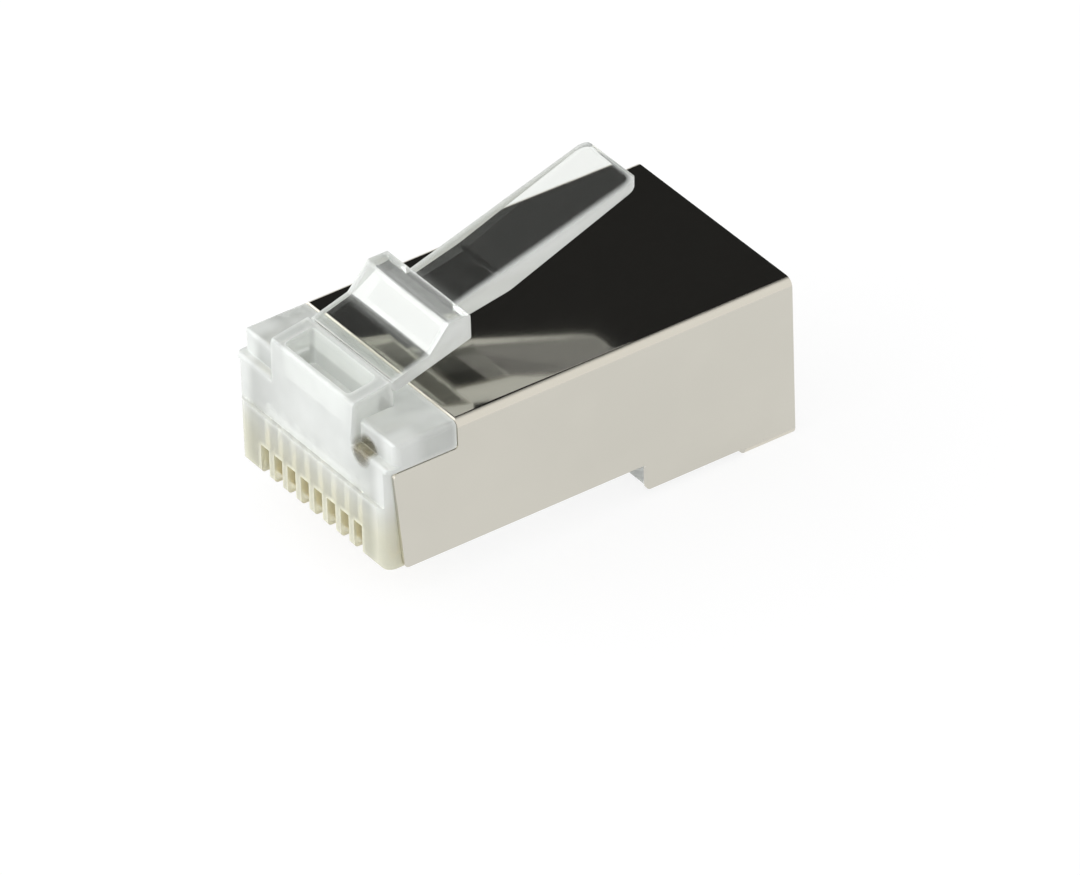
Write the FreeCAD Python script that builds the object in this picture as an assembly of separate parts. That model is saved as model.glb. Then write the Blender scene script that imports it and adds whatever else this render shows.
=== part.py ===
import FreeCAD, Part
import math
import os

# Shielded eight-way modular plug, unterminated: clear moulded housing with its latch, eight stamped
# contact blades standing in their slots, and a folded sheet shield closed by a strap at the cable end.
# Millimetres. x runs across the plug, y from the nose front to the cable end, z upwards to the latch.
# Everything is drawn from the nose front (y = 0) and the strap's underside (z = 0), and put into the
# part's own frame by place(), which moves the middle of the length to y = 0.

# ---- envelope -----------------------------------------------------------------------------------
plug_width = 11.70           # over the shield's sides
plug_length = 21.60          # nose front to the shield's rear edge
plug_height = 8.25           # strap underside to the shield's top
nose_bottom = 1.80           # underside of the part that enters the jack
shoulder_y = 13.60           # stop shoulder, where the plug becomes deeper

# ---- shield sheet -------------------------------------------------------------------------------
sheet = 0.20
bend_radius = 0.42           # outer radius of every fold
shield_front = 3.83          # front edge of the shield's top
wing_drop = 1.40             # the side wings that reach along the nose end this far below the top
wing_front_high = 0.45       # wing's front edge at its upper corner
wing_front_low = 0.85        # wing's front edge at its lower corner
wing_corner = 0.25
blank_corner = 0.15          # inner corners of the stamped blank
heel_corner = 0.20           # outer corner of the blank at the stop shoulder
front_lip = 0.15             # the top's front edge is rolled over
strap_length = 2.70          # strap folded under the cable end
flap_lap = 3.40              # how far each strap flap passes the middle
sheet_fit = 0.02             # air between sheet and moulding, and between the lapped flaps
flap_fit = 0.03              # air between the lapped flaps and the plastic above them

# ---- housing ------------------------------------------------------------------------------------
rear_inset = 0.30            # housing ends this much inside the shield's rear edge
shoulder_inset = 0.10        # plastic shoulder stands behind the sheet's edge
cap_inset = 0.05             # exposed nose stands this much below the shield's skin
cap_gap = 0.03               # between exposed nose and the sheet's cut edges
nose_corner = 0.60           # upright front corners
soft_edge = 0.25             # rounding of moulded edges
fine_edge = 0.05             # rounding of small moulded details
heel_edge = 0.15             # inner corner at the stop shoulder
toe_edge = 0.20              # lower front edge of the nose
rib_z = 4.95                 # ledge across the front face, above the contact slots
rib_depth = 0.16
rib_slope = 0.05             # rise of the ledge's upper side
step_drop = 1.15             # shoulders beside the latch root step down this far below the top
step_back = 0.62             # front wall above the step
step_edge = 0.20
brow_corner = 0.35           # upright corners above the step

# ---- latch root on the housing --------------------------------------------------------------------
platform_side = 0.05         # platform stands out beside the latch
platform_lean = 0.12         # front wall leans back
platform_rear = 2.38
platform_rise = 1.23         # ridge at the rear, above the shield's top
platform_fall = 0.34         # the top falls this much towards the front
platform_crest = 0.15        # rounding of the ridge
platform_brow = 0.22         # rounding of the front edge
platform_root = 0.50         # how far it reaches into the nose
pocket_length = 4.90         # coring pocket in the platform, along x
pocket_front = 0.50
pocket_rear = 2.06
pocket_depth = 1.80          # below the ridge
pocket_draft = 0.10
pocket_corner = 0.22

# ---- cable side ---------------------------------------------------------------------------------
cable_bore = 6.30            # round hole for the cable jacket
bore_depth = 5.10
mouth_chamfer = 0.40
jacket_stop = 0.35           # step at the end of the round hole that stops the jacket
funnel_flat = 0.50           # half length of the flats at the funnel's wide end
throat_gap = 1.40            # from the conductor bar to the funnel's narrow end
row_ease = 0.144             # room beside the outer conductors
row_height = 1.20
channel_bore = 0.90
channel_z = 4.95
channel_front = 1.00         # blind end of each conductor channel

# ---- contacts -----------------------------------------------------------------------------------
contact_count = 8
contact_pitch = 1.016
blade = 0.35                 # contact sheet thickness
blade_fit = 0.01             # each side of the blade in its pocket
end_fit = 0.02               # before and behind the blade
blade_front = 0.50
blade_rear = 3.30
blade_proud = 0.25           # stands proud of the nose until it is crimped
blade_shelf = 3.50           # where the piercing teeth leave the blade's body
blade_toe = 0.55             # rounded toe that the jack's springs ride over
blade_heel = 0.25
tooth_tip = 4.42
tooth_count = 3
tooth_width = 0.55
tooth_taper = 0.50           # height of a tooth's point
tooth_edge = 0.04
finger_slot = 0.62           # slot for the jack's spring fingers
finger_slot_depth = 0.75
finger_slot_rear = 4.30
slot_edge = 0.30
window_rise = 1.50           # height of the slot's opening in the front face, above the underside
window_sill = 0.10           # the opening's back wall stands this far before the blade

# ---- crimp bars, moulded with the housing --------------------------------------------------------
bar_gap = 0.25
hinge_web = 0.32
wire_bar_front = 5.40
wire_bar_rear = 8.20
wire_bar_side = 0.444        # beyond the outer conductors
wire_bar_rise = 1.90         # height of the bar's nose above the underside
wire_bar_face = 1.30         # height of its upright rear face
wire_bar_nose = 0.40         # flat on top of the nose
wire_bar_bevel = 0.70
wire_bar_run = 0.75          # flexing strip before the bar thickens
jacket_bar_start = 1.00      # from the stop shoulder to the bar's thinned hinge
jacket_bar_length = 3.50
jacket_bar_half = 1.60
jacket_bar_cut = 2.00        # height of the slots round the jacket bar
jacket_bar_flex = 0.40       # length of its thinned hinge

# ---- latch --------------------------------------------------------------------------------------
latch_width = 6.20
latch_slope = 16.0           # degrees, free position
hinge_back = 0.24            # flexing line behind the platform
hinge_rise = 0.90            # and above the shield's top
web_thickness = 0.58
hinge_fit = 0.03
ramp_foot = 4.35
ramp_top = 5.45
ramp_foot_curve = 0.25
ramp_top_curve = 0.20
stop_face = 6.55             # stop face that holds the plug in the jack
stop_rise = 2.95             # top of the stop face above the shield's top
stop_edge = 0.10
lever_rise = 2.57            # lever's upper face at the stop face, above the shield's top
lever_bite = 0.60            # how far the lever reaches into the ramp's block
belly_y = 9.50
belly_rise = 2.27
belly_curve = 2.00
lever_tip_y = 16.40
lever_tip_thickness = 0.42
lever_tip_edge = 0.15
lever_root_width = 3.50
lever_tip_width = 3.90
lever_tip_corner = 0.60

# ---- worked out -----------------------------------------------------------------------------------
half_width = plug_width / 2
core_half = half_width - sheet - sheet_fit
core_top = plug_height - sheet - sheet_fit
housing_rear = plug_length - rear_inset
cap_half = half_width - cap_inset
cap_top = plug_height - cap_inset
cap_rear = shield_front - cap_gap
wing_top = plug_height - wing_drop
cap_bottom = wing_top + cap_gap
step_z = plug_height - step_drop
platform_half = latch_width / 2 + platform_side
platform_top = plug_height + platform_rise
strap_front = plug_length - strap_length
inner_flap_z = sheet + sheet_fit
shoulder_bottom = inner_flap_z + sheet + flap_fit
core_bottom = shoulder_bottom
contact_row = (contact_count - 1) * contact_pitch
contact_xs = [i * contact_pitch - contact_row / 2 for i in range(contact_count)]
cable_bore_z = (core_bottom + core_top) / 2
bore_end = housing_rear - bore_depth
funnel_end = wire_bar_rear + throat_gap
blade_bottom = nose_bottom - blade_proud
window_top = nose_bottom + window_rise
wire_bar_half = contact_row / 2 + wire_bar_side
jacket_bar_front = shoulder_y + shoulder_inset + jacket_bar_start
jacket_bar_rear = jacket_bar_front + jacket_bar_length
hinge_y = platform_rear + hinge_back
hinge_z = plug_height + hinge_rise
shoulder_top = plug_height + stop_rise
lever_z = plug_height + lever_rise
lean = math.radians(latch_slope)
past = 1.0                   # how far a cutting solid runs beyond what it cuts
merge = 0.1                  # how far a fused or cut solid runs into its neighbour

AXES = {
    "yz": (lambda u, v, w: FreeCAD.Vector(w, u, v)),
    "xz": (lambda u, v, w: FreeCAD.Vector(u, w, v)),
    "xy": (lambda u, v, w: FreeCAD.Vector(u, v, w)),
}
SAME_POINT = 1e-6


def rounded_wire(corners, plane, level):
    """Closed wire through corners (u, v) or (u, v, radius) in a plane at the given level."""
    to_space = AXES[plane]
    flat = [FreeCAD.Vector(c[0], c[1], 0) for c in corners]
    stations = []
    for i, corner in enumerate(corners):
        here = flat[i]
        radius = corner[2] if len(corner) > 2 else 0.0
        if radius == 0.0:
            stations.append((here, None, here))
            continue
        back = (flat[i - 1] - here).normalize()
        ahead = (flat[(i + 1) % len(flat)] - here).normalize()
        half_angle = back.getAngle(ahead) / 2
        reach = radius / math.tan(half_angle)
        middle = here + (back + ahead).normalize() * (radius / math.sin(half_angle) - radius)
        stations.append((here + back * reach, middle, here + ahead * reach))
    edges = []
    for i, (start, middle, end) in enumerate(stations):
        spots = [to_space(p.x, p.y, level) for p in (start, end)]
        if middle is not None:
            through = to_space(middle.x, middle.y, level)
            edges.append(Part.Arc(spots[0], through, spots[1]).toShape())
        following = stations[(i + 1) % len(stations)][0]
        next_spot = to_space(following.x, following.y, level)
        if (next_spot - spots[1]).Length > SAME_POINT:
            edges.append(Part.makeLine(spots[1], next_spot))
    return Part.Wire(edges)


def prism(corners, plane, start, end):
    """Solid whose outline in the plane runs from level start to level end."""
    face = Part.Face(rounded_wire(corners, plane, start))
    return face.extrude(AXES[plane](0, 0, end - start))


def box(x0, x1, y0, y1, z0, z1):
    return Part.makeBox(x1 - x0, y1 - y0, z1 - z0, FreeCAD.Vector(x0, y0, z0))


def rectangle(u0, u1, v0, v1, radius):
    return [(u0, v0, radius), (u1, v0, radius), (u1, v1, radius), (u0, v1, radius)]


def mirrored_pair(corners, plane, start, end):
    """The prism and its twin on the other side of the plug's middle plane."""
    solid = prism(corners, plane, start, end)
    return solid.fuse(solid.mirror(FreeCAD.Vector(0, 0, 0), FreeCAD.Vector(1, 0, 0)))


def rod(y0, y1, z, radius, x=0.0):
    return Part.makeCylinder(radius, y1 - y0, FreeCAD.Vector(x, y0, z), FreeCAD.Vector(0, 1, 0))


def cross_rod(radius, half_length):
    """Rod across the plug on the latch's flexing line."""
    start = FreeCAD.Vector(-half_length, hinge_y, hinge_z)
    return Part.makeCylinder(radius, 2 * half_length, start, FreeCAD.Vector(1, 0, 0))


def on_web(y, side):
    """Height of the latch web's upper (side 1) or lower (side -1) face at y."""
    return hinge_z + (y - hinge_y) * math.tan(lean) + side * web_thickness / 2 / math.cos(lean)


# ---- housing ------------------------------------------------------------------------------------
def nose_profile(top, rear):
    """Side outline of the nose: rib across the front face, then the step to the shoulders."""
    return [
        (0.0, -past),
        (0.0, rib_z, fine_edge),
        (rib_depth, rib_z + rib_slope, fine_edge),
        (rib_depth, step_z, step_edge),
        (step_back, step_z, fine_edge),
        (step_back, top, step_edge),
        (rear, top),
        (rear, -past),
    ]


def nose_plan(half, rear):
    return [(-half, 0.0, nose_corner), (half, 0.0, nose_corner), (half, rear), (-half, rear)]


def housing_body():
    """The moulding's outer form before anything is cored out of it."""
    side = [
        (0.0, nose_bottom, toe_edge),
        (shoulder_y + shoulder_inset, nose_bottom, soft_edge),
        (shoulder_y + shoulder_inset, core_bottom, heel_edge),
        (housing_rear, core_bottom, soft_edge),
        (housing_rear, core_top, soft_edge),
        (0.0, core_top),
    ]
    core = prism(side, "yz", -core_half, core_half)
    core = core.common(prism(nose_plan(core_half, plug_length), "xy", -past, plug_height + past))
    core_section = rectangle(-core_half, core_half, core_bottom, core_top, soft_edge)
    core = core.common(prism(core_section, "xz", -past, plug_length))
    core = core.common(prism(nose_profile(core_top, plug_length), "yz", -half_width, half_width))
    between_wings = [
        (-past, cap_bottom),
        (cap_rear, cap_bottom, blank_corner),
        (cap_rear, cap_top),
        (-past, cap_top),
    ]
    brow = prism(between_wings, "yz", -cap_half, cap_half)
    brow = brow.common(prism(nose_profile(cap_top, plug_length), "yz", -cap_half, cap_half))
    brow = brow.common(prism(nose_plan(cap_half, plug_length), "xy", 0.0, plug_height + past))
    brow_section = rectangle(-cap_half, cap_half, 0.0, cap_top, soft_edge)
    brow = brow.common(prism(brow_section, "xz", -past, plug_length))
    corner_cut = [
        (cap_half + past, step_back + brow_corner),
        (cap_half, step_back + brow_corner),
        (cap_half, step_back, brow_corner),
        (cap_half - brow_corner, step_back),
        (cap_half - brow_corner, 0.0),
        (cap_half + past, 0.0),
    ]
    return core.fuse(brow).cut(mirrored_pair(corner_cut, "xy", step_z, plug_height + past))


def platform():
    """Latch root: flush with the front face below, its top rising to a ridge at the rear."""
    side = [
        (rib_depth, step_z - platform_root),
        (platform_rear, step_z - platform_root),
        (platform_rear, platform_top, platform_crest),
        (rib_depth + platform_lean, platform_top - platform_fall, platform_brow),
        (rib_depth, step_z),
    ]
    plan = [
        (-platform_half, rib_depth, soft_edge),
        (platform_half, rib_depth, soft_edge),
        (platform_half, platform_rear),
        (-platform_half, platform_rear),
    ]
    block = prism(side, "yz", -platform_half, platform_half)
    return block.common(prism(plan, "xy", 0.0, platform_top + past))


def coring_pocket():
    """Drafted pocket that keeps the platform's wall thickness even."""
    top = pocket_length / 2
    bottom = top - pocket_draft
    block = Part.makeWedge(
        -bottom,
        platform_top - pocket_depth,
        pocket_draft - pocket_rear,
        -pocket_rear,
        -top,
        bottom,
        platform_top + merge,
        -pocket_front - pocket_draft,
        -pocket_front,
        top,
    )
    block.rotate(FreeCAD.Vector(0, 0, 0), FreeCAD.Vector(1, 0, 0), 90)
    upright = [e for e in block.Edges if abs(e.Vertexes[0].Z - e.Vertexes[1].Z) > pocket_depth / 2]
    return block.makeFillet(pocket_corner, upright)


def cable_cavity():
    """Round jacket hole, funnel to the flat throat, and one channel for each conductor."""
    radius = cable_bore / 2
    hole = rod(bore_end, housing_rear + past, cable_bore_z, radius)
    mouth = Part.makeCone(
        radius,
        radius + mouth_chamfer + past,
        mouth_chamfer + past,
        FreeCAD.Vector(0, housing_rear - mouth_chamfer, cable_bore_z),
        FreeCAD.Vector(0, 1, 0),
    )
    u = (contact_row + channel_bore) / 2 + row_ease
    v = row_height / 2
    throat = rectangle(-u, u, channel_z - v, channel_z + v, v - fine_edge)
    wide = radius - jacket_stop
    round_end = rectangle(-wide, wide, cable_bore_z - wide, cable_bore_z + wide, wide - funnel_flat)
    wires = [rounded_wire(throat, "xz", funnel_end), rounded_wire(round_end, "xz", bore_end + merge)]
    funnel = Part.makeLoft(wires, True, True)
    cavity = hole.fuse([mouth, funnel])
    for x in contact_xs:
        cavity = cavity.fuse(rod(channel_front, funnel_end + 2 * merge, channel_z, channel_bore / 2, x))
    return cavity


def contact_slots():
    """Pockets for the blades, opened below and in front for the jack's spring fingers."""
    cuts = []
    pocket = blade / 2 + blade_fit
    slot_top = nose_bottom + finger_slot_depth
    slot = [
        (-past, 0.0),
        (finger_slot_rear, 0.0),
        (finger_slot_rear, slot_top, slot_edge),
        (blade_front + slot_edge, slot_top, fine_edge),
        (blade_front - window_sill, window_top, fine_edge),
        (-past, window_top),
    ]
    for x in contact_xs:
        cuts.append(box(x - pocket, x + pocket, blade_front - end_fit, blade_rear + end_fit, 0.0, channel_z))
        cuts.append(prism(slot, "yz", x - finger_slot / 2, x + finger_slot / 2))
    return cuts


def crimp_bar_cuts():
    """Slots that free the conductor bar and the jacket bar on three sides and thin their hinges."""
    wire_cavity = box(-wire_bar_half, wire_bar_half, wire_bar_front, wire_bar_rear, 0.0, channel_z)
    bar_back = wire_bar_rear - bar_gap
    bar_top = nose_bottom + wire_bar_rise
    wire_bar = prism(
        [
            (wire_bar_front - merge, nose_bottom),
            (bar_back, nose_bottom, heel_edge),
            (bar_back, nose_bottom + wire_bar_face, heel_edge),
            (bar_back - wire_bar_bevel, bar_top, fine_edge),
            (bar_back - wire_bar_bevel - wire_bar_nose, bar_top, fine_edge),
            (wire_bar_front + wire_bar_run, nose_bottom + hinge_web, fine_edge),
            (wire_bar_front - merge, nose_bottom + hinge_web),
        ],
        "yz",
        bar_gap - wire_bar_half,
        wire_bar_half - bar_gap,
    )
    outer = jacket_bar_half + bar_gap
    slot_top = shoulder_bottom + jacket_bar_cut
    side_slot = [
        (jacket_bar_half, jacket_bar_front),
        (outer, jacket_bar_front),
        (outer, jacket_bar_rear, toe_edge),
        (jacket_bar_half, jacket_bar_rear),
    ]
    sides = mirrored_pair(side_slot, "xy", 0.0, slot_top)
    rear_half = outer - toe_edge
    rear = box(-rear_half, rear_half, jacket_bar_rear - bar_gap, jacket_bar_rear, 0.0, slot_top)
    flex_end = jacket_bar_front + jacket_bar_flex
    hinge_groove = box(-outer, outer, jacket_bar_front, flex_end, shoulder_bottom + hinge_web, slot_top)
    return [wire_cavity.cut(wire_bar), sides, rear, hinge_groove]


def make_housing():
    solid = housing_body().fuse(platform())
    solid = solid.cut(coring_pocket())
    solid = solid.cut(cross_rod(web_thickness / 2 + hinge_fit, platform_half + past))
    solid = solid.cut(cable_cavity())
    solid = solid.cut(contact_slots())
    solid = solid.cut(crimp_bar_cuts())
    return solid.removeSplitter()


# ---- contacts -----------------------------------------------------------------------------------
def make_contact(x):
    """Stamped blade: rounded toe below, three piercing teeth above."""
    step = (blade_rear - blade_front - tooth_width) / (tooth_count - 1)
    outline = [
        (blade_front, blade_shelf),
        (blade_front, blade_bottom, blade_toe),
        (blade_rear, blade_bottom, blade_heel),
        (blade_rear, blade_shelf),
    ]
    shape = prism(outline, "yz", x - blade / 2, x + blade / 2)
    for i in range(tooth_count):
        y0 = blade_front + i * step
        tooth = [
            (y0, blade_shelf - merge),
            (y0 + tooth_width, blade_shelf - merge),
            (y0 + tooth_width, tooth_tip - tooth_taper, tooth_edge),
            (y0 + tooth_width / 2, tooth_tip, tooth_edge),
            (y0, tooth_tip - tooth_taper, tooth_edge),
        ]
        shape = shape.fuse(prism(tooth, "yz", x - blade / 2, x + blade / 2))
    return shape.removeSplitter()


# ---- shield -------------------------------------------------------------------------------------
def strap_flap(side, level, inner):
    """Flap folded under the cable end from one side, at the given height."""
    return [
        (side * half_width, shoulder_bottom + past),
        (side * half_width, level, bend_radius),
        (-side * flap_lap, level),
        (-side * flap_lap, level + sheet),
        (side * (half_width - sheet), level + sheet, inner),
        (side * (half_width - sheet), shoulder_bottom + past),
    ]


def make_shield():
    """One folded sheet: top, two sides with wings, and two flaps lapped under the cable end."""
    inner = bend_radius - sheet
    channel = [
        (-half_width, -past),
        (-half_width, plug_height, bend_radius),
        (half_width, plug_height, bend_radius),
        (half_width, -past),
        (half_width - sheet, -past),
        (half_width - sheet, plug_height - sheet, inner),
        (sheet - half_width, plug_height - sheet, inner),
        (sheet - half_width, -past),
    ]
    side_view = [
        (wing_front_low, nose_bottom, wing_corner),
        (shoulder_y, nose_bottom, blank_corner),
        (shoulder_y, shoulder_bottom, heel_corner),
        (plug_length, shoulder_bottom),
        (plug_length, plug_height),
        (shield_front, plug_height, front_lip),
        (shield_front, wing_top, blank_corner),
        (wing_front_high, wing_top, wing_corner),
    ]
    folded = prism(channel, "xz", 0.0, plug_length)
    folded = folded.common(prism(side_view, "yz", -half_width - past, half_width + past))
    for flap in (strap_flap(1, 0.0, inner), strap_flap(-1, inner_flap_z, inner)):
        folded = folded.fuse(prism(flap, "xz", strap_front, plug_length))
    return folded.removeSplitter()


# ---- latch --------------------------------------------------------------------------------------
def make_latch():
    """Flexing web, shoulder with its ramp, and the tapering lever the thumb presses."""
    half = latch_width / 2
    offset = math.sin(lean) * web_thickness / 2
    web = prism(
        [
            (hinge_y + offset, on_web(hinge_y + offset, -1)),
            (stop_face, on_web(stop_face, -1), stop_edge),
            (stop_face, shoulder_top, stop_edge),
            (ramp_top, shoulder_top, ramp_top_curve),
            (ramp_foot, on_web(ramp_foot, 1), ramp_foot_curve),
            (hinge_y - offset, on_web(hinge_y - offset, 1)),
        ],
        "yz",
        -half,
        half,
    )
    slope = math.tan(lean)
    tip_z = lever_z + (lever_tip_y - stop_face) * slope
    inside = stop_face - lever_bite
    side = prism(
        [
            (inside, lever_z - lever_bite * slope),
            (inside, on_web(inside, -1) + fine_edge),
            (stop_face, on_web(stop_face, -1), stop_edge),
            (belly_y, plug_height + belly_rise, belly_curve),
            (lever_tip_y, tip_z - lever_tip_thickness, lever_tip_edge),
            (lever_tip_y, tip_z, lever_tip_edge),
        ],
        "yz",
        -half,
        half,
    )
    plan = [
        (-lever_root_width / 2, inside),
        (lever_root_width / 2, inside),
        (lever_tip_width / 2, lever_tip_y, lever_tip_corner),
        (-lever_tip_width / 2, lever_tip_y, lever_tip_corner),
    ]
    lever = side.common(prism(plan, "xy", 0.0, 2 * plug_height))
    return web.fuse([cross_rod(web_thickness / 2, half), lever]).removeSplitter()


# ---- parts --------------------------------------------------------------------------------------
def place(shape):
    moved = shape.copy()
    moved.translate(FreeCAD.Vector(0, -plug_length / 2, 0))
    return moved


def build():
    parts = {"housing": make_housing(), "latch": make_latch(), "shield": make_shield()}
    for number, x in enumerate(contact_xs, start=1):
        parts["contact_%d" % number] = make_contact(x)
    return parts


os.makedirs("parts", exist_ok=True)
for name, shape in build().items():
    placed = place(shape)
    placed.exportStep("parts/%s.step" % name)
    print(name, placed.isValid(), len(placed.Solids), round(placed.Volume, 3), placed.BoundBox)
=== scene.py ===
import math

import bmesh
import bpy
from mathutils import Matrix, Vector


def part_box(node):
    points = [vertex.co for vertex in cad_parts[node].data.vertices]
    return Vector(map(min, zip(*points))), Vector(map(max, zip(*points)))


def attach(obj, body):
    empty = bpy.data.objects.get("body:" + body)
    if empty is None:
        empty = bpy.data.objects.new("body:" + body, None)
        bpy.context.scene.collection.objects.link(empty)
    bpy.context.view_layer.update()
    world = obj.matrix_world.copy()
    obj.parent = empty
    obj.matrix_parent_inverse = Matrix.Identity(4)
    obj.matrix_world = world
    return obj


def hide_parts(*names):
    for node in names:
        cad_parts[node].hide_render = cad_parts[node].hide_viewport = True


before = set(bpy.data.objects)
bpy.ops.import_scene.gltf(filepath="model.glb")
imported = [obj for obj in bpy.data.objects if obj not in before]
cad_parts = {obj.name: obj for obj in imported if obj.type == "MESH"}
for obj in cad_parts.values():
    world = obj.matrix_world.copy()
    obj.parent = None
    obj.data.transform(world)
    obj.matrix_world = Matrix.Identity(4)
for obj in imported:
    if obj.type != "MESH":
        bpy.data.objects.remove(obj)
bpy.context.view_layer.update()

bl_info = {
    "name": "Shielded modular plug",
    "version": (1, 0, 0),
    "blender": (4, 5, 0),
    "location": "View3D > Sidebar > Plug",
    "description": "Clear moulded plug with a sprung latch, gold contacts and a folded nickel shield",
    "category": "Object",
}

# ---- what comes from the CAD model ---------------------------------------------------------------
BODY = "plug_body"
ARM = "latch_arm"
CONTACTS = sorted(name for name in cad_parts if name.startswith("contact_"))
MM = 0.001
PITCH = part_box("contact_2")[0].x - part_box("contact_1")[0].x

# ---- mesh finish ---------------------------------------------------------------------------------
MERGE = 0.002 * MM  # corners nearer than this are one
FLAT_ANGLE = math.radians(0.6)  # facets nearer than this are one flat face
ROUNDED_ANGLE = math.radians(28.0)  # edges sharper than this are rounded
CREASE_ANGLE = math.radians(50.0)  # edges sharper than this stay a crease to the light
ROUNDING_STEPS = 3  # facets across a rounded edge
FLAT_WEIGHT = 100  # how much larger faces decide a corner's shading
BLADE_EDGE = 0.02  # rounding of the contact blades, in millimetres

# ---- where the plastic changes: it fades from the first mark to the second, in millimetres -------
# a painted view of the contacts is centred here as well
LEDGE = Vector((3.75, -10.35, 7.0)) * MM  # middle of the polished ledge beside the latch root
LEDGE_REACH = (0.40, 0.85)  # distance from there
GOLD_TOP = (3.2, 5.4)  # height that the contacts fill
GOLD_BACK = (-8.2, -6.6)  # how far back they fill it
NOSE_BACK = (-9.4, -8.4)  # back of the nose's front part
CORNER_SIDE = (4.4, 5.2)  # distance of the upright corners from the middle
WALL_SIDE = (2.4, 4.4)  # sides of the milky front wall
WALL_FOOT = (4.6, 7.0)
# painted highlight: a white band is painted as extra milk between the lip's foot and top
LIP_FOOT = (4.90, 5.02)  # lip over the front ledge
LIP_TOP = (5.25, 5.55)
BLOCK_FRONT = (-6.7, -6.2)  # the latch's shoulder block
BLOCK_BACK = (-4.3, -3.6)

# ---- how squarely a face looks along an axis, up to 1: its finish changes between the marks ------
FRONT_FACING = (0.7, 0.95)
SIDE_FACING = (0.55, 0.95)
FLAT_FACING = (0.96, 0.9998)

# ---- materials -----------------------------------------------------------------------------------
WHITE = (1.0, 1.0, 1.0, 1.0)
NOISE_RANGE = (0.3, 0.7)  # where most of a noise's values lie
TONE_MARKS = (0.35, 0.65)  # where a two-tone pattern has reached each of its tones
EDGE_RAYS = 6  # rays that feel for the plastic's thickness
EDGE_GAIN = 2.0  # an outer edge blocks half of those rays, and counts as 1
HAZE_RANGE = (0.85, 1.15)  # least and most of the housing's haze, as a multiple of the look's
PLASTIC_RANGE = (0.7, 1.4)  # the same of the plastic's roughness
NICKEL_RANGE = (0.75, 1.3)  # the same of the plating's roughness
GOLD_ROUGHNESS = (0.16, 0.34)  # polished gold and rubbed gold
POLYCARBONATE_IOR = 1.585
PLASTIC_SHADOW = (0.985, 0.985, 0.985, 1.0)  # light that the clear plastic lets into its shadow
SEEN_RAYS = ("Is Camera Ray", "Is Glossy Ray", "Is Transmission Ray")
BOUNCED_RAYS = ("Is Glossy Ray", "Is Transmission Ray")

# ---- studio: angles in degrees, lengths in metres ------------------------------------------------
FLOOR_HALF = 1.5
DARK_WALL_ELEVATION = 46.0
DARK_WALL_FULL = 30.0  # the wall is dark this far round its middle
DARK_WALL_GONE = 40.0  # and has faded to white here
LAMP_AIM = Vector((-0.60, -0.76, 0.32)).normalized()
LAMP_DISTANCE = 0.6

# ---- camera: the view that the plug is shown from ------------------------------------------------
VIEW_AZIMUTH = 55.91
VIEW_ELEVATION = 34.90
VIEW_ROLL = -1.96
VIEW_DISTANCE = 0.600
VIEW_LENS = 458.76
VIEW_SENSOR = 36.0
VIEW_CLIP = (0.01, 50.0)
VIEW_TARGET = Vector((0.0, 0.2, 4.0)) * MM
VIEW_OFFSET = Vector((0.942, -2.357)) * MM


# ---- node helpers --------------------------------------------------------------------------------
def new_material(name):
    """An empty node material, and its tree."""
    material = bpy.data.materials.new(name)
    material.use_nodes = True
    tree = material.node_tree
    tree.nodes.clear()
    return material, tree


def connect(tree, value, socket):
    """Link a socket to another, or set its own value."""
    if isinstance(value, bpy.types.NodeSocket):
        tree.links.new(value, socket)
    else:
        socket.default_value = value


def add(tree, kind, **inputs):
    """A node with its named sockets set, where an underscore stands for a space."""
    node = tree.nodes.new(kind)
    for name, value in inputs.items():
        connect(tree, value, node.inputs[name.replace("_", " ")])
    return node


def maths(tree, operation, first, second=None, clamp=False):
    node = tree.nodes.new("ShaderNodeMath")
    node.operation = operation
    node.use_clamp = clamp
    connect(tree, first, node.inputs[0])
    if second is not None:
        connect(tree, second, node.inputs[1])
    return node.outputs[0]


def vector_maths(tree, operation, first, second=None):
    node = tree.nodes.new("ShaderNodeVectorMath")
    node.operation = operation
    connect(tree, first, node.inputs[0])
    if second is not None:
        connect(tree, second, node.inputs[1])
    return node.outputs


def inverse(tree, value):
    """1 where the value is 0, and 0 where it is 1."""
    return maths(tree, "SUBTRACT", 1.0, value)


def product(tree, value, *others):
    for other in others:
        value = maths(tree, "MULTIPLY", value, other)
    return value


def rise(tree, value, low, high):
    """Rises smoothly from 0 to 1 as the value goes from low to high."""
    node = add(tree, "ShaderNodeMapRange", Value=value, From_Min=low, From_Max=high)
    node.interpolation_type = "SMOOTHSTEP"
    return node.outputs["Result"]


def past(tree, length, marks):
    """Rises from 0 to 1 between two marks in millimetres."""
    return rise(tree, length, marks[0] * MM, marks[1] * MM)


def short_of(tree, length, marks):
    """Falls from 1 to 0 between two marks in millimetres."""
    return inverse(tree, past(tree, length, marks))


def spread(tree, value, low, high, times=1.0):
    """A noise stretched to run from low to high, times a number."""
    node = add(
        tree,
        "ShaderNodeMapRange",
        Value=value,
        From_Min=NOISE_RANGE[0],
        From_Max=NOISE_RANGE[1],
        To_Min=low * times,
        To_Max=high * times,
    )
    return node.outputs["Result"]


def coordinates(tree, kind):
    return tree.nodes.new("ShaderNodeTexCoord").outputs[kind]


def split(tree, vector):
    """The vector's X, Y and Z."""
    return add(tree, "ShaderNodeSeparateXYZ", Vector=vector).outputs


def object_axes(tree):
    """Where a point of the piece lies on the plug's own axes."""
    return split(tree, coordinates(tree, "Object"))


def own_facing(tree):
    """How squarely a face looks along each of the plug's own axes, 0 to 1."""
    return split(tree, vector_maths(tree, "ABSOLUTE", coordinates(tree, "Normal"))["Vector"])


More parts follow.
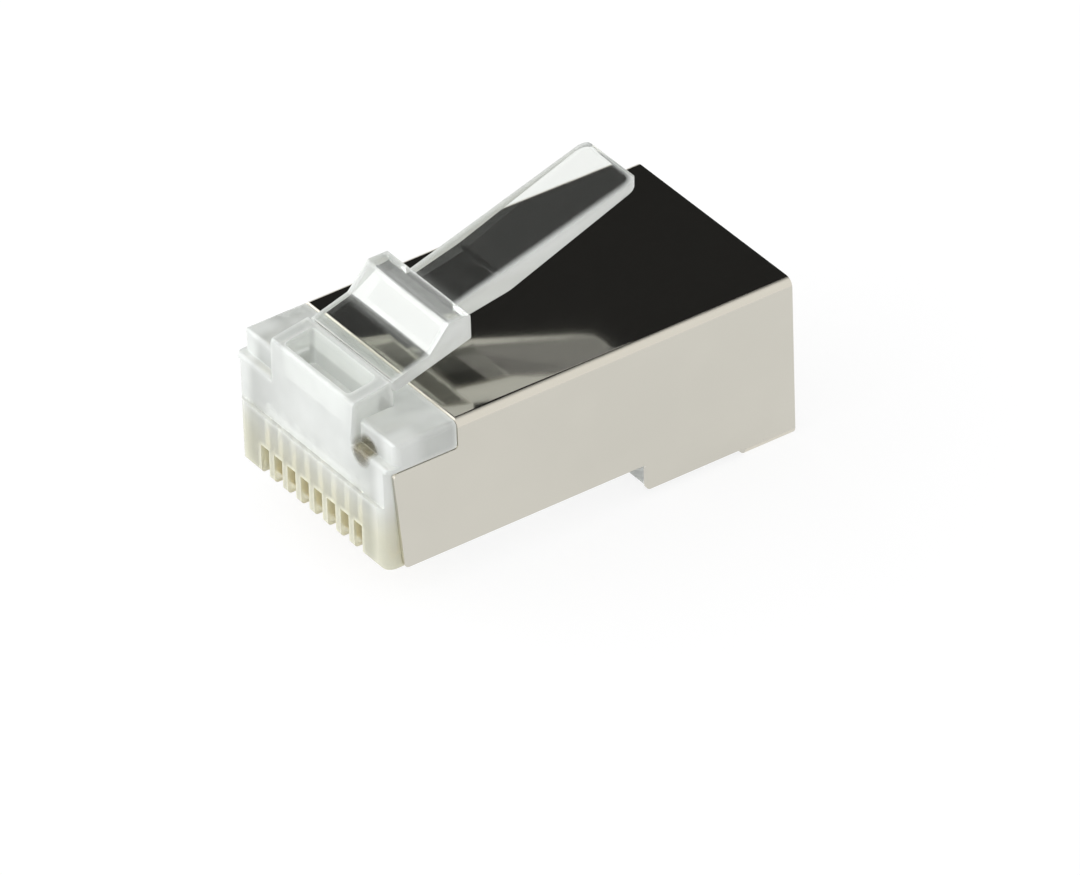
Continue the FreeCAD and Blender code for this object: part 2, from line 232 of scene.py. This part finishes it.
def grain(tree, per_mm, detail, stretch=(1.0, 1.0, 1.0)):
    """A noise over the piece, finer along an axis with a larger stretch."""
    laid = add(tree, "ShaderNodeMapping", Vector=coordinates(tree, "Object"), Scale=stretch)
    vector = laid.outputs["Vector"]
    pattern = add(tree, "ShaderNodeTexNoise", Vector=vector, Scale=per_mm / MM, Detail=detail)
    return pattern.outputs["Fac"]


def two_tone(tree, factor, colour, shade):
    """The colour where the factor is high, times the shade where it is low."""
    ramp = add(tree, "ShaderNodeValToRGB", Fac=factor)
    tones = (tuple(shade * part for part in colour), colour)
    for stop, mark, tone in zip(ramp.color_ramp.elements, TONE_MARKS, tones):
        stop.position = mark
        stop.color = (*tone, 1.0)
    return ramp.outputs["Color"]


def tinted(tree, colour, factor, tint, blend="MULTIPLY"):
    """The colour multiplied by a tint, or with MIX turned into it, where the factor is 1."""
    node = tree.nodes.new("ShaderNodeMix")
    node.data_type = "RGBA"
    node.blend_type = blend
    for index, value in ((0, factor), (6, colour), (7, (*tint, 1.0))):  # a Mix node's colour sockets
        connect(tree, value, node.inputs[index])
    return node.outputs[2]


def bump(tree, height, strength, distance_mm):
    node = add(tree, "ShaderNodeBump", Strength=strength, Distance=distance_mm * MM, Height=height)
    return node.outputs["Normal"]


def rays(tree, *kinds):
    """1 for rays of these kinds, 0 for others."""
    path = tree.nodes.new("ShaderNodeLightPath")
    total = path.outputs[kinds[0]]
    for kind in kinds[1:]:
        total = maths(tree, "ADD", total, path.outputs[kind], clamp=True)
    return total


def mixed(tree, factor, first, second):
    """The first shader where the factor is 0, the second where it is 1."""
    node = add(tree, "ShaderNodeMixShader", Fac=factor)
    tree.links.new(first.outputs[0], node.inputs[1])
    tree.links.new(second.outputs[0], node.inputs[2])
    return node


def finish_material(tree, shader):
    add(tree, "ShaderNodeOutputMaterial", Surface=shader.outputs[0])


# ---- materials: clear plastic --------------------------------------------------------------------
def thin_places(tree, reach_mm):
    """1 along outer edges and in thin walls, 0 where the plastic is thicker than the reach."""
    depth = add(tree, "ShaderNodeAmbientOcclusion", Distance=reach_mm * MM)
    depth.inside = True
    depth.only_local = True
    depth.samples = EDGE_RAYS
    return maths(tree, "MULTIPLY", inverse(tree, depth.outputs["AO"]), EDGE_GAIN, clamp=True)


def beside_contacts(tree, axes):
    """1 in the low front of the nose, where the plastic is full of gold, 0 elsewhere."""
    low = short_of(tree, axes["Z"], GOLD_TOP)
    return product(tree, low, short_of(tree, axes["Y"], GOLD_BACK))


def near_ledge(tree):
    """1 at the polished ledge beside the latch root, 0 away from it."""
    away = vector_maths(tree, "DISTANCE", coordinates(tree, "Object"), LEDGE)["Value"]
    return short_of(tree, away, LEDGE_REACH)


def polycarbonate(name, look, haze, painted_edge_highlight, reach_mm, polish):
    """Clear moulding: flow pattern, uneven polish, and edges that gather the light, with a painted
    highlight along them; painted gold light beside the contacts and at the ledge.
    """
    material, tree = new_material(name)
    axes = object_axes(tree)
    flow = grain(tree, per_mm=0.35, detail=2.0, stretch=(1.0, 0.35, 1.0))
    marks = grain(tree, per_mm=2.2, detail=4.0)
    colour = two_tone(tree, flow, look.tint, shade=0.985)
    # painted light: a warm glow of the gold contacts is painted into the plastic's colour in the low
    # front
    colour = tinted(tree, colour, beside_contacts(tree, axes), look.cast)
    # painted reflection: a dark amber view of the contacts is painted into the plastic at the ledge
    colour = tinted(tree, colour, near_ledge(tree), look.painted_gold_glimpse)
    milk = haze(tree, axes)
    # painted highlight: outer edges and thin walls are made milky-white, standing in for the bright
    # lines of light along the moulded edges
    more = maths(tree, "SUBTRACT", painted_edge_highlight, milk)
    milk = maths(tree, "ADD", milk, product(tree, thin_places(tree, reach_mm), more), clamp=True)
    shader = add(
        tree,
        "ShaderNodeBsdfPrincipled",
        Base_Color=colour,
        Roughness=spread(tree, marks, *PLASTIC_RANGE, times=polish),
        IOR=POLYCARBONATE_IOR,
        Transmission_Weight=inverse(tree, milk),
        Normal=bump(tree, flow, strength=0.08, distance_mm=0.05),
    )
    through = add(tree, "ShaderNodeBsdfTransparent", Color=PLASTIC_SHADOW)
    finish_material(tree, mixed(tree, rays(tree, "Is Shadow Ray"), shader, through))
    return material


def housing_milk(look):
    """The housing is hazy, more so in its front wall and corners, and clear at the polished ledge; the
    extra milk on the upper front wall is painted light on its lit side, and that on the lip over the
    front ledge a painted highlight.
    """

    def haze(tree, axes):
        across = maths(tree, "ABSOLUTE", axes["X"])
        nose = short_of(tree, axes["Y"], NOSE_BACK)
        corner = product(tree, past(tree, across, CORNER_SIDE), nose)
        front = rise(tree, own_facing(tree)["Y"], *FRONT_FACING)
        wall = product(tree, front, nose, short_of(tree, across, WALL_SIDE))
        # painted highlight: a milky-white band along the lip over the front ledge stands in for the
        # light along it
        lip = product(tree, wall, past(tree, axes["Z"], LIP_FOOT), short_of(tree, axes["Z"], LIP_TOP))
        # painted light: the upper front wall, which faces the lamp, is made milkier and so lighter
        upper = product(tree, wall, past(tree, axes["Z"], WALL_FOOT))
        patches = grain(tree, per_mm=0.3, detail=2.0)
        milk = spread(tree, patches, *HAZE_RANGE, times=look.housing_haze)
        for where, more in (
            (beside_contacts(tree, axes), look.window_haze - look.housing_haze),
            (corner, look.corner_haze),
            (lip, look.lip_painted_highlight),
            (upper, look.front_painted_light),
        ):
            milk = maths(tree, "ADD", milk, product(tree, where, more))
        return product(tree, milk, inverse(tree, near_ledge(tree)))

    return haze


def latch_milk(look):
    """The latch is clear, but for its thick shoulder block and the drafted sides left matt."""

    def haze(tree, axes):
        block = product(tree, past(tree, axes["Y"], BLOCK_FRONT), short_of(tree, axes["Y"], BLOCK_BACK))
        more = product(tree, block, look.block_haze - look.latch_haze)
        milk = maths(tree, "ADD", more, look.latch_haze)
        side = rise(tree, own_facing(tree)["X"], *SIDE_FACING)
        matt = product(tree, side, maths(tree, "SUBTRACT", look.side_haze, milk))
        return maths(tree, "ADD", milk, matt)

    return haze


# ---- materials: metal and floor ------------------------------------------------------------------
def bright_nickel(look):
    """Nickel plating on rolled sheet: mirror-like flats with faint rolling marks, duller bends with a
    lighter colour painted on as a highlight.
    """
    material, tree = new_material("bright_nickel")
    rolling = grain(tree, per_mm=0.9, detail=5.0, stretch=(14.0, 1.0, 14.0))
    sheet_wave = grain(tree, per_mm=0.22, detail=2.0)
    facing = own_facing(tree)
    square = maths(tree, "MAXIMUM", maths(tree, "MAXIMUM", facing["X"], facing["Y"]), facing["Z"])
    bend = inverse(tree, rise(tree, square, *FLAT_FACING))
    flat = two_tone(tree, sheet_wave, look.colour, shade=0.97)
    polish = spread(tree, rolling, *NICKEL_RANGE, times=look.roughness)
    shader = add(
        tree,
        "ShaderNodeBsdfPrincipled",
        # painted highlight: the bends take a lighter, warmer colour, standing in for the line of light
        # along them
        Base_Color=tinted(tree, flat, bend, look.bend_painted_highlight, "MIX"),
        Metallic=1.0,
        Roughness=maths(tree, "ADD", polish, product(tree, bend, look.bend_roughness)),
        Normal=bump(tree, sheet_wave, strength=0.12, distance_mm=0.05),
    )
    finish_material(tree, shader)
    return material


def contact_gold(look):
    """Thin gold over nickel, rubbed along the edge that the springs ride on."""
    material, tree = new_material("contact_gold")
    rub = grain(tree, per_mm=1.6, detail=4.0, stretch=(3.0, 0.5, 3.0))
    shader = add(
        tree,
        "ShaderNodeBsdfPrincipled",
        Base_Color=two_tone(tree, rub, look.colour, shade=0.86),
        Metallic=1.0,
        Roughness=spread(tree, rub, *GOLD_ROUGHNESS),
        Normal=bump(tree, rub, strength=0.1, distance_mm=0.01),
    )
    finish_material(tree, shader)
    return material


def studio_floor(look):
    """Pale floor that camera, metal and plastic see as the white background, with a light shadow."""
    material, tree = new_material("studio_floor")
    mottle = grain(tree, per_mm=0.01, detail=2.0)
    shade = two_tone(tree, mottle, look.floor_colour, shade=0.99)
    diffuse = add(tree, "ShaderNodeBsdfDiffuse", Color=shade)
    glow = add(tree, "ShaderNodeEmission", Color=WHITE, Strength=look.floor_glow)
    veil = mixed(tree, look.floor_shadow, glow, diffuse)
    finish_material(tree, mixed(tree, rays(tree, *SEEN_RAYS), diffuse, veil))
    return material


# ---- mesh helpers --------------------------------------------------------------------------------
def put(name, data):
    """An object in the scene, with this mesh, lamp or camera."""
    made = bpy.data.objects.new(name, data)
    bpy.context.scene.collection.objects.link(made)
    return made


def solid_copy(node, name):
    """A clean copy of a CAD node's mesh: merged corners and whole flat faces."""
    mesh = bpy.data.meshes.new(name)
    form = bmesh.new()
    form.from_mesh(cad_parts[node].data)
    bmesh.ops.remove_doubles(form, verts=form.verts, dist=MERGE)
    bmesh.ops.dissolve_limit(
        form,
        angle_limit=FLAT_ANGLE,
        use_dissolve_boundaries=False,
        verts=form.verts,
        edges=form.edges,
    )
    form.to_mesh(mesh)
    form.free()
    return put(name, mesh)


def soften_edges(piece, width_mm):
    """Round the edges that a mould or a die leaves soft; the flat faces stay flat to the light."""
    bevel = piece.modifiers.new("soft_edges", "BEVEL")
    bevel.width = width_mm * MM
    bevel.segments = ROUNDING_STEPS
    bevel.limit_method = "ANGLE"
    bevel.angle_limit = ROUNDED_ANGLE
    bevel.use_clamp_overlap = True
    bevel.miter_outer = "MITER_ARC"
    bake(piece)
    piece.data.shade_smooth()
    piece.data.set_sharp_from_angle(angle=CREASE_ANGLE)
    level = piece.modifiers.new("flat_faces", "WEIGHTED_NORMAL")
    level.mode = "FACE_AREA"
    level.weight = FLAT_WEIGHT
    level.keep_sharp = True
    bake(piece)


def bake(piece):
    """Replace a piece's mesh by what its modifiers make of it."""
    graph = bpy.context.evaluated_depsgraph_get()
    made = bpy.data.meshes.new_from_object(piece.evaluated_get(graph))
    old = piece.data
    piece.modifiers.clear()
    piece.data = made
    bpy.data.meshes.remove(old)


def dress(piece, material):
    """Give a piece its one material."""
    piece.data.materials.clear()
    piece.data.materials.append(material)


# ---- contacts: one blade repeated along the row --------------------------------------------------
def contact_row_tree(material):
    """Geometry nodes that repeat the blade at the contact pitch."""
    tree = bpy.data.node_groups.new("contact_row", "GeometryNodeTree")
    for name, side, kind in (
        ("Geometry", "INPUT", "NodeSocketGeometry"),
        ("Count", "INPUT", "NodeSocketInt"),
        ("Pitch", "INPUT", "NodeSocketFloat"),
        ("Geometry", "OUTPUT", "NodeSocketGeometry"),
    ):
        tree.interface.new_socket(name, in_out=side, socket_type=kind)
    entry = tree.nodes.new("NodeGroupInput").outputs
    step = add(tree, "ShaderNodeCombineXYZ", X=entry["Pitch"])
    line = add(tree, "GeometryNodeMeshLine", Count=entry["Count"], Offset=step.outputs[0])
    copies = add(
        tree,
        "GeometryNodeInstanceOnPoints",
        Points=line.outputs["Mesh"],
        Instance=entry["Geometry"],
    )
    real = add(tree, "GeometryNodeRealizeInstances", Geometry=copies.outputs["Instances"])
    paint = add(
        tree,
        "GeometryNodeSetMaterial",
        Geometry=real.outputs["Geometry"],
        Material=material,
    )
    add(tree, "NodeGroupOutput", Geometry=paint.outputs["Geometry"])
    return tree


def set_input(modifier, tree, name, value):
    """Set a tree's input by its name, through the socket's identifier."""
    for item in tree.interface.items_tree:
        if item.item_type == "SOCKET" and item.in_out == "INPUT" and item.name == name:
            modifier[item.identifier] = value
            return
    raise RuntimeError("the tree has no input called " + name)


# ---- properties ----------------------------------------------------------------------------------
class PlasticLook(bpy.types.PropertyGroup):
    """Colours, milkiness and polish of the clear plastic, with its painted highlights and painted gold
    light
    """

    tint: bpy.props.FloatVectorProperty(
        name="Tint",
        description="Colour of the clear plastic",
        subtype="COLOR",
        size=3,
        default=(0.972, 0.990, 0.960),
        min=0.0,
        max=1.0,
    )
    housing_haze: bpy.props.FloatProperty(
        name="Housing haze",
        description="Milkiness of the thick housing, with its many inner walls",
        default=0.50,
        min=0.0,
        max=1.0,
        subtype="FACTOR",
    )
    # painted highlight: milky-white housing edges stand in for the light along them
    housing_edge_painted_highlight: bpy.props.FloatProperty(
        name="Housing edge haze",
        description="Milkiness along the housing's edges and in its thin walls",
        default=0.80,
        min=0.0,
        max=1.0,
        subtype="FACTOR",
    )
    window_haze: bpy.props.FloatProperty(
        name="Window haze",
        description="Milkiness of the low front wall, where the contacts show through",
        default=0.42,
        min=0.0,
        max=1.0,
        subtype="FACTOR",
    )
    corner_haze: bpy.props.FloatProperty(
        name="Corner haze",
        description="Milkiness that the nose's upright corners have on top of the housing's",
        default=0.30,
        min=0.0,
        max=1.0,
        subtype="FACTOR",
    )
    # painted light: lightens the upper front wall as its lit side
    front_painted_light: bpy.props.FloatProperty(
        name="Front haze",
        description="Milkiness that the upper front wall has on top of the housing's",
        default=0.20,
        min=0.0,
        max=1.0,
        subtype="FACTOR",
    )
    # painted highlight: the white band along the lip over the front ledge
    lip_painted_highlight: bpy.props.FloatProperty(
        name="Lip haze",
        description="Milkiness that the lip over the front ledge has on top of the housing's",
        default=0.22,
        min=0.0,
        max=1.0,
        subtype="FACTOR",
    )
    latch_haze: bpy.props.FloatProperty(
        name="Latch haze",
        description="Milkiness of the thin latch",
        default=0.01,
        min=0.0,
        max=1.0,
        subtype="FACTOR",
    )
    # painted highlight: milky-white latch edges stand in for the light along them
    latch_edge_painted_highlight: bpy.props.FloatProperty(
        name="Latch edge haze",
        description="Milkiness along the latch's edges",
        default=0.75,
        min=0.0,
        max=1.0,
        subtype="FACTOR",
    )
    side_haze: bpy.props.FloatProperty(
        name="Latch side haze",
        description="Milkiness of the latch's drafted sides",
        default=0.85,
        min=0.0,
        max=1.0,
        subtype="FACTOR",
    )
    block_haze: bpy.props.FloatProperty(
        name="Shoulder haze",
        description="Milkiness of the latch's thick shoulder block",
        default=0.14,
        min=0.0,
        max=1.0,
        subtype="FACTOR",
    )
    housing_reach: bpy.props.FloatProperty(
        name="Housing edge reach",
        description="How deep the housing's edges gather light, in millimetres",
        default=0.28,
        min=0.0,
    )
    latch_reach: bpy.props.FloatProperty(
        name="Latch edge reach",
        description="How deep the latch's edges gather light, in millimetres",
        default=0.40,
        min=0.0,
    )
    # painted reflection: the contacts' colour painted into the plastic at the ledge
    painted_gold_glimpse: bpy.props.FloatVectorProperty(
        name="Amber",
        description="Colour of the contacts as it shows through the polished ledge",
        subtype="COLOR",
        size=3,
        default=(0.40, 0.32, 0.19),
        min=0.0,
        max=1.0,
    )
    # painted light: the gold contacts' warm glow, painted into the plastic beside them
    cast: bpy.props.FloatVectorProperty(
        name="Cast",
        description="Warm colour that the plastic picks up beside the gold contacts",
        subtype="COLOR",
        size=3,
        default=(1.0, 0.965, 0.81),
        min=0.0,
        max=1.0,
    )
    housing_polish: bpy.props.FloatProperty(
        name="Housing polish",
        description="Roughness that the mould leaves on the housing",
        default=0.07,
        min=0.0,
        max=1.0,
        subtype="FACTOR",
    )
    latch_polish: bpy.props.FloatProperty(
        name="Latch polish",
        description="Roughness that the mould leaves on the latch",
        default=0.03,
        min=0.0,
        max=1.0,
        subtype="FACTOR",
    )
    edge: bpy.props.FloatProperty(
        name="Edge", description="Rounding of moulded edges, in millimetres", default=0.05, min=0.0
    )


class ShieldLook(bpy.types.PropertyGroup):
    """Colour and polish of the folded shield, and the highlight painted on its bends"""

    colour: bpy.props.FloatVectorProperty(
        name="Colour",
        description="Reflected colour of the nickel plating",
        subtype="COLOR",
        size=3,
        default=(0.62, 0.60, 0.535),
        min=0.0,
        max=1.0,
    )
    roughness: bpy.props.FloatProperty(
        name="Roughness",
        description="Roughness of the plated sheet's flat faces",
        default=0.09,
        min=0.0,
        max=1.0,
        subtype="FACTOR",
    )
    bend_roughness: bpy.props.FloatProperty(
        name="Bend roughness",
        description="What the stretched bends are duller by",
        default=0.30,
        min=0.0,
        max=1.0,
        subtype="FACTOR",
    )
    # painted highlight: lighter colour on the bends
    bend_painted_highlight: bpy.props.FloatVectorProperty(
        name="Bend colour",
        description="Reflected colour of the plating on the bends",
        subtype="COLOR",
        size=3,
        default=(0.71, 0.675, 0.59),
        min=0.0,
        max=1.0,
    )
    edge: bpy.props.FloatProperty(
        name="Edge", description="Rounding of sheared edges, in millimetres", default=0.03, min=0.0
    )


class ContactLook(bpy.types.PropertyGroup):
    """The row of contact blades"""

    colour: bpy.props.FloatVectorProperty(
        name="Colour",
        description="Reflected colour of the gold plating",
        subtype="COLOR",
        size=3,
        default=(0.55, 0.41, 0.15),
        min=0.0,
        max=1.0,
    )
    count: bpy.props.IntProperty(
        name="Count", description="Contact blades in the row", default=len(CONTACTS), min=1, max=10
    )
    pitch: bpy.props.FloatProperty(
        name="Pitch",
        description="Distance from blade to blade",
        default=PITCH,
        unit="LENGTH",
        precision=5,
    )


class StageLook(bpy.types.PropertyGroup):
    """The floor, the room and the lamp"""

    floor_colour: bpy.props.FloatVectorProperty(
        name="Floor",
        description="Colour of the floor",
        subtype="COLOR",
        size=3,
        default=(0.86, 0.86, 0.86),
    )
    floor_glow: bpy.props.FloatProperty(
        name="Floor glow", description="Brightness that lifts the floor to white", default=1.12, min=0.0
    )
    floor_shadow: bpy.props.FloatProperty(
        name="Floor shadow",
        description="How much of the plug's shadow the floor keeps",
        default=0.25,
        min=0.0,
        max=1.0,
        subtype="FACTOR",
    )
    sky: bpy.props.FloatProperty(
        name="Sky", description="Strength of the room's light", default=0.64, min=0.0
    )
    dark: bpy.props.FloatProperty(
        name="Dark wall",
        description="Brightness of the dark wall behind the plug",
        default=0.022,
        min=0.0,
    )
    lamp_width: bpy.props.FloatProperty(
        name="Lamp width",
        description="Width of the softbox",
        default=2.4,
        min=0.0,
        unit="LENGTH",
    )
    lamp_height: bpy.props.FloatProperty(
        name="Lamp height",
        description="Height of the softbox",
        default=0.70,
        min=0.0,
        unit="LENGTH",
    )
    lamp_colour: bpy.props.FloatVectorProperty(
        name="Lamp colour",
        description="Colour of the softbox: cool daylight",
        subtype="COLOR",
        size=3,
        default=(0.96, 0.985, 1.0),
    )
    lamp: bpy.props.FloatProperty(
        name="Lamp",
        description="Power of the softbox",
        default=6.6,
        min=0.0,
        unit="POWER",
    )


# ---- studio --------------------------------------------------------------------------------------
def direction(azimuth, elevation):
    """From the plug towards where it is seen from at these angles, in degrees."""
    turn = math.radians(azimuth)
    lift = math.radians(elevation)
    level = math.cos(lift)
    return Vector((math.sin(turn) * level, -math.cos(turn) * level, math.sin(lift)))


def view_axes():
    """The camera's right, up and back directions."""
    back = direction(VIEW_AZIMUTH, VIEW_ELEVATION)
    level = direction(VIEW_AZIMUTH + 90.0, 0.0)
    over = back.cross(level)
    roll = math.radians(VIEW_ROLL)
    right = level * math.cos(roll) + over * math.sin(roll)
    up = over * math.cos(roll) - level * math.sin(roll)
    return right, up, back


def lay_floor(look):
    """One wide pale sheet, with the plug in its middle."""
    size = FLOOR_HALF
    mesh = bpy.data.meshes.new("studio_floor")
    corners = [(-size, -size, 0.0), (size, -size, 0.0), (size, size, 0.0), (-size, size, 0.0)]
    mesh.from_pydata(corners, [], [(0, 1, 2, 3)])
    floor = put("studio_floor", mesh)
    mesh.materials.append(studio_floor(look))


def light_room(context, look):
    """White room with a dark wall high behind the plug, which its mirror-like top looks at."""
    world = bpy.data.worlds.new("room")
    world.use_nodes = True
    tree = world.node_tree
    tree.nodes.clear()
    wall = direction(VIEW_AZIMUTH + 180.0, DARK_WALL_ELEVATION)
    facing = vector_maths(tree, "DOT_PRODUCT", coordinates(tree, "Generated"), wall)["Value"]
    gone = math.cos(math.radians(DARK_WALL_GONE))
    full = math.cos(math.radians(DARK_WALL_FULL))
    reflected = product(tree, rise(tree, facing, gone, full), rays(tree, *BOUNCED_RAYS))
    white, dark, lit = (
        add(tree, "ShaderNodeBackground", Color=WHITE, Strength=strength)
        for strength in (1.0, look.dark, look.sky)
    )
    seen = mixed(tree, reflected, white, dark)
    whole = mixed(tree, rays(tree, *SEEN_RAYS), lit, seen)
    add(tree, "ShaderNodeOutputWorld", Surface=whole.outputs[0])
    context.scene.world = world


def hang_lamp(look):
    """A wide, low softbox in front and to the left of the plug."""
    data = bpy.data.lights.new("soft_lamp", "AREA")
    data.shape = "RECTANGLE"
    data.size = look.lamp_width
    data.size_y = look.lamp_height
    data.energy = look.lamp
    data.color = look.lamp_colour
    lamp = put("soft_lamp", data)
    lamp.location = LAMP_AIM * LAMP_DISTANCE
    lamp.rotation_euler = LAMP_AIM.to_track_quat("Z", "Y").to_euler()


def place_camera(context):
    """A long lens from the plug's front right, moved aside to frame it."""
    right, up, back = view_axes()
    data = bpy.data.cameras.new("view")
    data.lens = VIEW_LENS
    data.sensor_width = VIEW_SENSOR
    data.clip_start, data.clip_end = VIEW_CLIP
    camera = put("view", data)
    spot = VIEW_TARGET + right * VIEW_OFFSET.x + up * VIEW_OFFSET.y + back * VIEW_DISTANCE
    turn = Matrix((right, up, back)).transposed()
    camera.matrix_world = Matrix.Translation(spot) @ turn.to_4x4()
    context.scene.camera = camera


# ---- operators -----------------------------------------------------------------------------------
class PLUG_OT_housing(bpy.types.Operator):
    """Mould the clear housing"""

    bl_idname = "plug.housing"
    bl_label = "Housing"

    def execute(self, context):
        look = context.scene.plug_plastic
        piece = solid_copy("housing", "housing_moulding")
        soften_edges(piece, look.edge)
        material = polycarbonate(
            "hazy_polycarbonate",
            look,
            housing_milk(look),
            look.housing_edge_painted_highlight,
            look.housing_reach,
            look.housing_polish,
        )
        dress(piece, material)
        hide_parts("housing")
        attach(piece, BODY)
        return {"FINISHED"}


class PLUG_OT_latch(bpy.types.Operator):
    """Mould the latch that flexes at its root"""

    bl_idname = "plug.latch"
    bl_label = "Latch"

    def execute(self, context):
        look = context.scene.plug_plastic
        piece = solid_copy("latch", "latch_moulding")
        soften_edges(piece, look.edge)
        material = polycarbonate(
            "clear_polycarbonate",
            look,
            latch_milk(look),
            look.latch_edge_painted_highlight,
            look.latch_reach,
            look.latch_polish,
        )
        dress(piece, material)
        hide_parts("latch")
        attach(piece, ARM)
        return {"FINISHED"}


class PLUG_OT_shield(bpy.types.Operator):
    """Make the folded, nickel-plated shield"""

    bl_idname = "plug.shield"
    bl_label = "Shield"

    def execute(self, context):
        look = context.scene.plug_shield
        piece = solid_copy("shield", "shield_sheet")
        soften_edges(piece, look.edge)
        dress(piece, bright_nickel(look))
        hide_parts("shield")
        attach(piece, BODY)
        return {"FINISHED"}


class PLUG_OT_contacts(bpy.types.Operator):
    """Stamp the row of gold contact blades"""

    bl_idname = "plug.contacts"
    bl_label = "Contacts"

    def execute(self, context):
        look = context.scene.plug_contacts
        material = contact_gold(look)
        piece = solid_copy(CONTACTS[0], "contact_row")
        soften_edges(piece, BLADE_EDGE)
        tree = contact_row_tree(material)
        modifier = piece.modifiers.new("row", "NODES")
        modifier.node_group = tree
        set_input(modifier, tree, "Count", look.count)
        set_input(modifier, tree, "Pitch", look.pitch)
        bake(piece)
        dress(piece, material)
        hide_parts(*CONTACTS)
        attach(piece, BODY)
        return {"FINISHED"}


class PLUG_OT_stage(bpy.types.Operator):
    """Set the floor, the lamp, the room and the camera"""

    bl_idname = "plug.stage"
    bl_label = "Stage"

    def execute(self, context):
        look = context.scene.plug_stage
        lay_floor(look)
        light_room(context, look)
        hang_lamp(look)
        place_camera(context)
        context.scene.view_settings.view_transform = "Standard"
        return {"FINISHED"}


# ---- panel and registration ----------------------------------------------------------------------
class PLUG_PT_panel(bpy.types.Panel):
    """The plug's pieces, one button each"""

    bl_idname = "PLUG_PT_panel"
    bl_label = "Modular plug"
    bl_space_type = "VIEW_3D"
    bl_region_type = "UI"
    bl_category = "Plug"

    def draw(self, context):
        for look in LOOKS:
            group = getattr(context.scene, look)
            column = self.layout.column()
            for name in group.__annotations__:
                column.prop(group, name)
        for operator in OPERATORS:
            self.layout.operator(operator.bl_idname)


LOOKS = {
    "plug_plastic": PlasticLook,
    "plug_shield": ShieldLook,
    "plug_contacts": ContactLook,
    "plug_stage": StageLook,
}
OPERATORS = (PLUG_OT_housing, PLUG_OT_latch, PLUG_OT_shield, PLUG_OT_contacts, PLUG_OT_stage)
CLASSES = (*LOOKS.values(), *OPERATORS, PLUG_PT_panel)


def register():
    for item in CLASSES:
        bpy.utils.register_class(item)
    for name, group in LOOKS.items():
        setattr(bpy.types.Scene, name, bpy.props.PointerProperty(type=group))


def unregister():
    for name in LOOKS:
        delattr(bpy.types.Scene, name)
    for item in reversed(CLASSES):
        bpy.utils.unregister_class(item)


def main():
    register()
    bpy.ops.plug.housing()
    bpy.ops.plug.latch()
    bpy.ops.plug.shield()
    bpy.ops.plug.contacts()
    bpy.ops.plug.stage()


if __name__ == "__main__":
    main()
